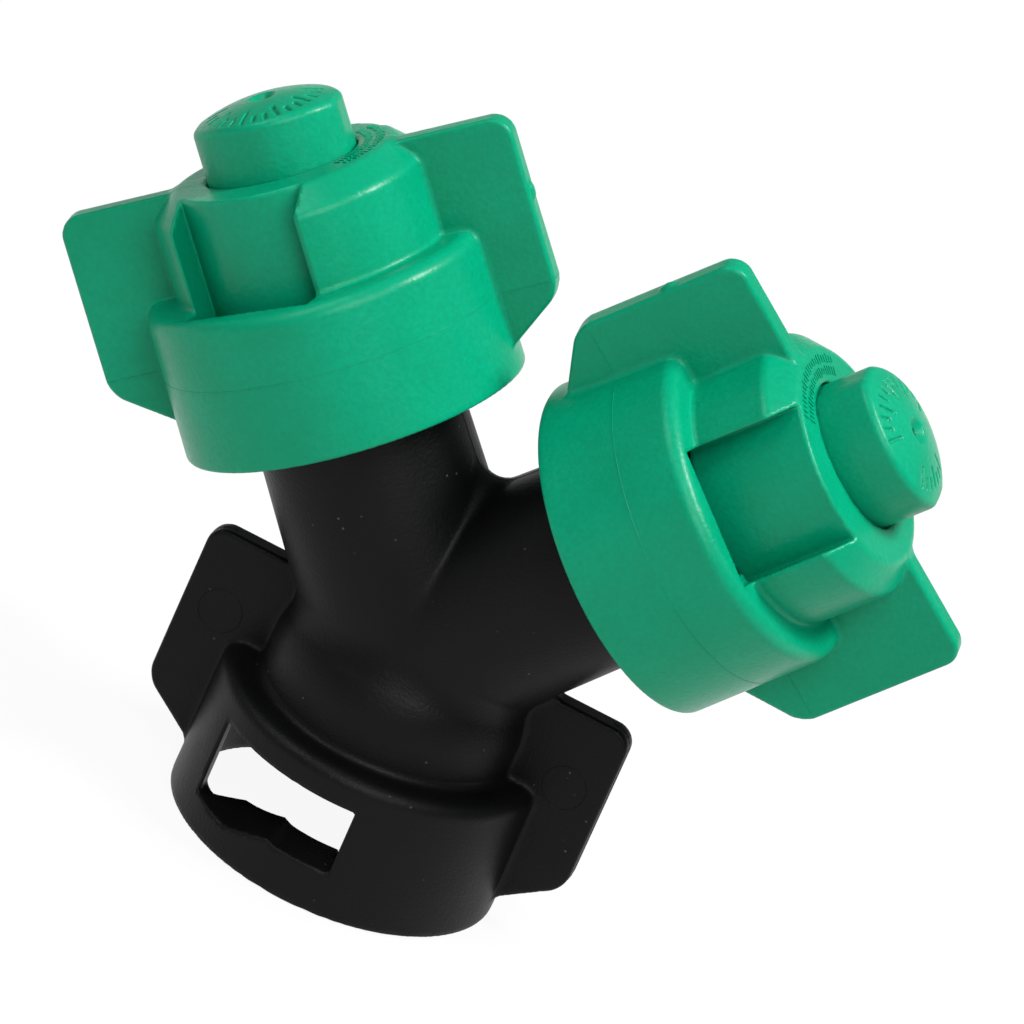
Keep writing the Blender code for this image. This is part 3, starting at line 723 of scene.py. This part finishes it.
body_lines = [(on_surface(body_field, (0, 0, 34), fan(62, 118, 60, "XZ"), 40), False)]
for side in (-1, 1):
    wing_edge = on_surface(body_field, (side * 19, 0, 14), fan(-72, 86, 60, "XZ") * [side, 1, 1], 20)
    body_lines.append((wing_edge, False))
    body_lines += [(pin_ring(side * 18.1, 16.2, 2.15, front), True) for front in (True, False)]
grow("body_parting_line", thread, path_mesh(*body_lines),
     {"Thread radius": 0.045, "Sides": 6, "Material": black_nylon}, Matrix(), body_of_node["y_body"])

# %% [markdown]
# ## The strainers' wire sleeves
#
# A strainer is a woven wire sleeve round a ribbed cage. It is hidden in the outlet, and shows when a cap is
# taken off. The wires run along and round the sleeve, and are drawn coarser than real cloth so that they
# show.

# %% A sleeve of wires
def sleeve_runs(radius, low, high, pitch):
    count = round(math.tau * radius / pitch)
    runs = []
    for k in range(count):
        a = math.tau * k / count
        runs.append(([(radius * math.cos(a), radius * math.sin(a), h) for h in (low, high)], False))
    around = np.linspace(0, math.tau, 48, endpoint=False)
    for h in np.arange(low, high, pitch):
        runs.append((np.stack([radius * np.cos(around), radius * np.sin(around), np.full(48, h)], 1), True))
    return runs


WIRE_R, WIRE_PITCH = 0.08, 0.6
sleeve_top = SPIGOT_H - GAP / 3 - COLLAR_T - 1.2 - GAP - WIRE_R
sleeve_foot = SPIGOT_H - GAP / 3 - STRAINER_L + 1.6 + GAP + WIRE_R
for tag in ("left", "right"):
    node = tag + "_strainer_mesh"
    wires = path_mesh(*sleeve_runs(STRAINER_R - 0.35, sleeve_foot, sleeve_top, WIRE_PITCH))
    grow(tag + "_wire_sleeve", thread, wires, {"Thread radius": WIRE_R, "Sides": 4, "Material": steel_wire},
         arm_frame(tag), body_of_node[node], node)

# %% [markdown]
# ## Raised strokes on the caps
#
# The top of each cap carries two short rows of fine raised marks. A Geometry Nodes tree sets plain strokes
# along an arc, with their lengths drawn at random from a fixed seed.

# %% The tree of strokes
def stroke_tree():
    tree, source = new_tree("raised_strokes", [
        ("Count", "Int"), ("Row radius", "Float"), ("Half arc", "Float"), ("Stroke length", "Float"),
        ("Stroke width", "Float"), ("Stroke height", "Float"), ("Seed", "Int"), ("Material", "Material")])

    def maths(operation, a, b):
        return add_node(tree, "ShaderNodeMath", {0: a, 1: b}, operation=operation).outputs[0]

    value = source.outputs
    line = add_node(tree, "GeometryNodeMeshLine", {"Count": value["Count"]}, mode="OFFSET")
    index = add_node(tree, "GeometryNodeInputIndex").outputs[0]
    share = maths("DIVIDE", index, maths("SUBTRACT", value["Count"], 1.0))
    angle = maths("MULTIPLY", maths("SUBTRACT", maths("MULTIPLY", share, 2.0), 1.0), value["Half arc"])
    across = maths("MULTIPLY", maths("COSINE", angle, 0.0), value["Row radius"])
    up = maths("MULTIPLY", maths("SINE", angle, 0.0), value["Row radius"])
    place = add_node(tree, "ShaderNodeCombineXYZ", {"X": across, "Y": up})
    put = add_node(tree, "GeometryNodeSetPosition", {"Geometry": line.outputs[0],
                                                     "Position": place.outputs[0]})
    size = add_node(tree, "ShaderNodeCombineXYZ", {"X": value["Stroke length"], "Y": value["Stroke width"],
                                                   "Z": value["Stroke height"]})
    stroke = add_node(tree, "GeometryNodeMeshCube", {"Size": size.outputs[0]})
    turn = add_node(tree, "ShaderNodeCombineXYZ", {"Z": angle})
    length = add_node(tree, "FunctionNodeRandomValue", {"Seed": value["Seed"]}, data_type="FLOAT")
    length.inputs[2].default_value, length.inputs[3].default_value = 0.45, 1.0
    shape = add_node(tree, "ShaderNodeCombineXYZ", {"X": length.outputs[1], "Y": 1.0, "Z": 1.0})
    spread = add_node(tree, "GeometryNodeInstanceOnPoints", {
        "Points": put.outputs[0], "Instance": stroke.outputs[0], "Rotation": turn.outputs[0],
        "Scale": shape.outputs[0]})
    close_tree(tree, source, spread.outputs[0])
    return tree


strokes_on_cap = stroke_tree()
for tag in ("left", "right"):
    top = arm_frame(tag, CAP_TURN[tag]) @ Matrix.Translation((0, 0, CAP_TOP_H))
    for row, radius, seed in (("inner", 8.3, 3), ("outer", 9.45, 8)):
        grow("%s_cap_%s_strokes" % (tag, row), strokes_on_cap, path_mesh(),
             {"Count": 24, "Row radius": radius, "Half arc": math.radians(38), "Stroke length": 0.9,
              "Stroke width": 0.17, "Stroke height": 0.22, "Seed": seed, "Material": green_acetal},
             top, body_of_node[tag + "_cap"])

# %% [markdown]
# ## Camera, light and floor
#
# A long lens looks down on the adapter, with the picture turned so that the adapter leans. The lights are
# large and soft, and the floor is a pale sheet of opal acrylic that glows from below.

# %% Camera
FOCAL_LENGTH = 395.7                         # millimetres, on a 36 mm sensor
CAMERA_PLACE = (115.22, -934.05, 476.52)
CAMERA_LOOK = (-0.10819696, 0.90003139, -0.42218114)
CAMERA_UP = (-0.4528165, 0.33344434, 0.82690513)
camera_data = bpy.data.cameras.new("camera")
camera_data.sensor_width = 36.0
camera_data.lens = FOCAL_LENGTH
camera_data.clip_start, camera_data.clip_end = 0.05, 20.0
camera = bpy.data.objects.new("camera", camera_data)
bpy.context.scene.collection.objects.link(camera)
look, up = Vector(CAMERA_LOOK).normalized(), Vector(CAMERA_UP).normalized()
right = look.cross(up).normalized()
turn = Matrix((right, right.cross(look), -look)).transposed().to_4x4()
camera.matrix_world = Matrix.Translation(Vector(CAMERA_PLACE) / 1000) @ turn
bpy.context.scene.camera = camera

# %% Lights and world
def soft_light(name, azimuth, elevation, distance, size, watts):
    """A square soft light, aimed at the middle of the adapter."""
    data = bpy.data.lights.new(name, "AREA")
    data.shape, data.size, data.energy = "SQUARE", size, watts
    made = bpy.data.objects.new(name, data)
    bpy.context.scene.collection.objects.link(made)
    a, e = math.radians(azimuth), math.radians(elevation)
    back = Vector((math.sin(a) * math.cos(e), -math.cos(a) * math.cos(e), math.sin(e)))
    made.location = Vector((0, 0, 0.03)) + back * distance
    made.rotation_mode = "QUATERNION"
    made.rotation_quaternion = back.to_track_quat("Z", "Y")


# Name, azimuth and elevation in degrees, distance and size in metres, power in watts
for light in (("key_softbox", 96, 62, 0.9, 0.22, 11.0), ("front_softbox", 20, 42, 1.1, 0.7, 8.0),
              ("fill_softbox", -62, 50, 1.0, 0.5, 3.0)):
    soft_light(*light)
world = bpy.data.worlds.new("studio")
bpy.context.scene.world = world
world.use_nodes = True
world.node_tree.nodes["Background"].inputs["Color"].default_value = linear("ffffff")
world.node_tree.nodes["Background"].inputs["Strength"].default_value = 0.25
bpy.context.scene.view_settings.view_transform = "Standard"

# %% Floor
def make_floor():
    half, drop = 4.0, -0.00002
    mesh = bpy.data.meshes.new("studio_floor")
    mesh.from_pydata([(-half, -half, drop), (half, -half, drop), (half, half, drop), (-half, half, drop)],
                     [], [(0, 1, 2, 3)])
    made = bpy.data.objects.new("studio_floor", mesh)
    bpy.context.scene.collection.objects.link(made)
    paint, tree, shader, place = new_finish("opal_acrylic_light_table", Roughness=0.8)
    shader.inputs["Specular IOR Level"].default_value = 0.1
    shader.inputs["Emission Color"].default_value = (1.0, 1.0, 1.0, 1.0)
    shader.inputs["Emission Strength"].default_value = 0.92
    mottle = add_node(tree, "ShaderNodeTexNoise", {"Vector": place, "Scale": 8.0, "Detail": 2.0})
    colour = add_node(tree, "ShaderNodeMix", {"Factor": mottle.outputs["Fac"]}, data_type="RGBA")
    colour.inputs["A"].default_value = linear("404040")
    colour.inputs["B"].default_value = linear("424242")
    tree.links.new(colour.outputs["Result"], shader.inputs["Base Color"])
    mesh.materials.append(paint)


make_floor()
